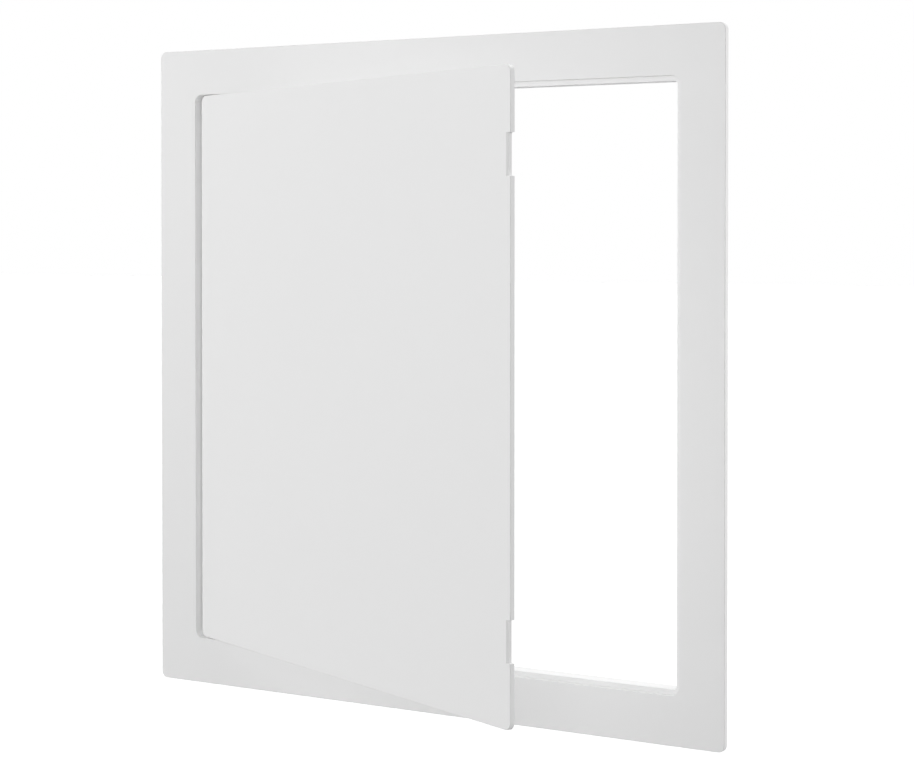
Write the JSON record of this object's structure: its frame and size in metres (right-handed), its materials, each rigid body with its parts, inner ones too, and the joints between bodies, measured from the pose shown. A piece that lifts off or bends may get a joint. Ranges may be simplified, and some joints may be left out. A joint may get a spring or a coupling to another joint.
{
  "type": "ceiling access panel",
  "caption": "Square flush access panel: a moulded flange frame with a plain hinged door on concealed lift-out pivots, held shut by sprung snap bolts behind it.",
  "frame": {"origin": "middle of the opening, on the plane where the back of the flange meets the ceiling or wall", "axes": "+X towards the free side of the door, +Y into the void behind the ceiling, +Z along the hinge, upwards in the picture"},
  "size_m": [0.356, 0.131, 0.356],
  "materials": {
    "white_plastic": "fine satin texture, white",
    "grey_plastic": "satin, pale grey",
    "acetal": "smooth, natural",
    "bright_steel": "zinc plated",
    "spring_steel": "drawn wire"
  },
  "bodies": {
    "frame_body": {"frame": "white_plastic", "pivot_bush_upper": "acetal", "pivot_bush_lower": "acetal"},
    "door_body": {"door": "white_plastic", "pivot_bracket_upper": "white_plastic", "pivot_bracket_lower": "white_plastic", "pivot_bracket_screws": "bright_steel", "pivot_pin_lower": "bright_steel", "pivot_spring": "spring_steel", "pivot_end_cap": "grey_plastic", "latch_housing_upper": "white_plastic", "latch_housing_lower": "white_plastic", "latch_spring_upper": "spring_steel", "latch_spring_lower": "spring_steel", "latch_cover_upper": "grey_plastic", "latch_cover_lower": "grey_plastic", "latch_screws_upper": "bright_steel", "latch_screws_lower": "bright_steel"},
    "release_pin_body": {"pivot_pin_upper": "bright_steel", "pivot_release_tab": "grey_plastic"},
    "upper_bolt_body": {"latch_bolt_upper": "acetal"},
    "lower_bolt_body": {"latch_bolt_lower": "acetal"}
  },
  "joints": [
    {"name": "door_hinge", "type": "hinge", "parent": "frame_body", "child": "door_body", "pos_m": [-0.14019, 0.004, 0], "axis": [0, 0, -1], "range_deg": [-23.2, 84]},
    {"name": "pivot_release", "type": "slide", "parent": "door_body", "child": "release_pin_body", "axis": [0, 0, -1], "range_m": [0, 0.005], "stiffness_N_per_m": 500, "springref_m": -0.006, "deforming": ["pivot_spring"]},
    {"name": "upper_latch", "type": "slide", "parent": "door_body", "child": "upper_bolt_body", "axis": [0, 0, -1], "range_m": [0, 0.004], "stiffness_N_per_m": 400, "springref_m": -0.005, "deforming": ["latch_spring_upper"]},
    {"name": "lower_latch", "type": "slide", "parent": "door_body", "child": "lower_bolt_body", "axis": [0, 0, 1], "range_m": [0, 0.004], "stiffness_N_per_m": 400, "springref_m": -0.005, "deforming": ["latch_spring_lower"]}
  ]
}
